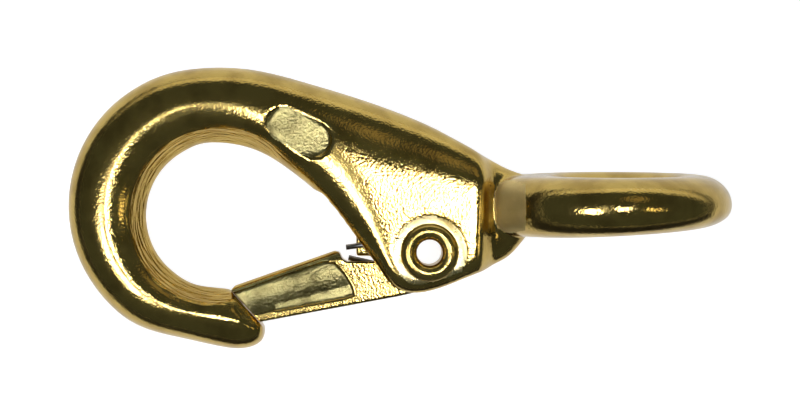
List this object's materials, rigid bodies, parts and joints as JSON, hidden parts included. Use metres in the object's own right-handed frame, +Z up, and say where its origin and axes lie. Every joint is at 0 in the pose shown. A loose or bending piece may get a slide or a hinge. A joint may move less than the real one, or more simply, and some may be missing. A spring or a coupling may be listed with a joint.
{
  "type": "snap hook",
  "caption": "Rigid round-eye snap hook of cast brass with a spring-loaded inward-opening gate on a tubular rivet.",
  "frame": {"origin": "middle of the bounding box, on the table that the hook lies on", "axes": "+X along the hook from the bend to the eye, +Y across it towards the back of the shank, +Z up off the table, close to the rivet's axis"},
  "size_m": [0.0855, 0.0368, 0.0308],
  "materials": {
    "polished_brass": "tumbled and polished casting, gold-brown brass",
    "cast_brass": "polished rims round an as-cast stippled hollow",
    "rivet_brass": "drawn tube with rolled, burnished heads",
    "spring_steel": "dull drawn steel wire"
  },
  "bodies": {
    "hook": {"hook_body": "polished_brass", "rivet": "rivet_brass", "spring": "spring_steel"},
    "gate": {"gate": "cast_brass"}
  },
  "joints": [
    {"name": "gate_hinge", "type": "hinge", "parent": "hook", "child": "gate", "pos_m": [0.00373, -0.0056, 0.01161], "axis": [0.1652, -0.0275, -0.9859], "range_deg": [0, 26], "stiffness_Nm_per_rad": 0.08, "springref_deg": -60.16, "deforming": ["spring"]}
  ]
}
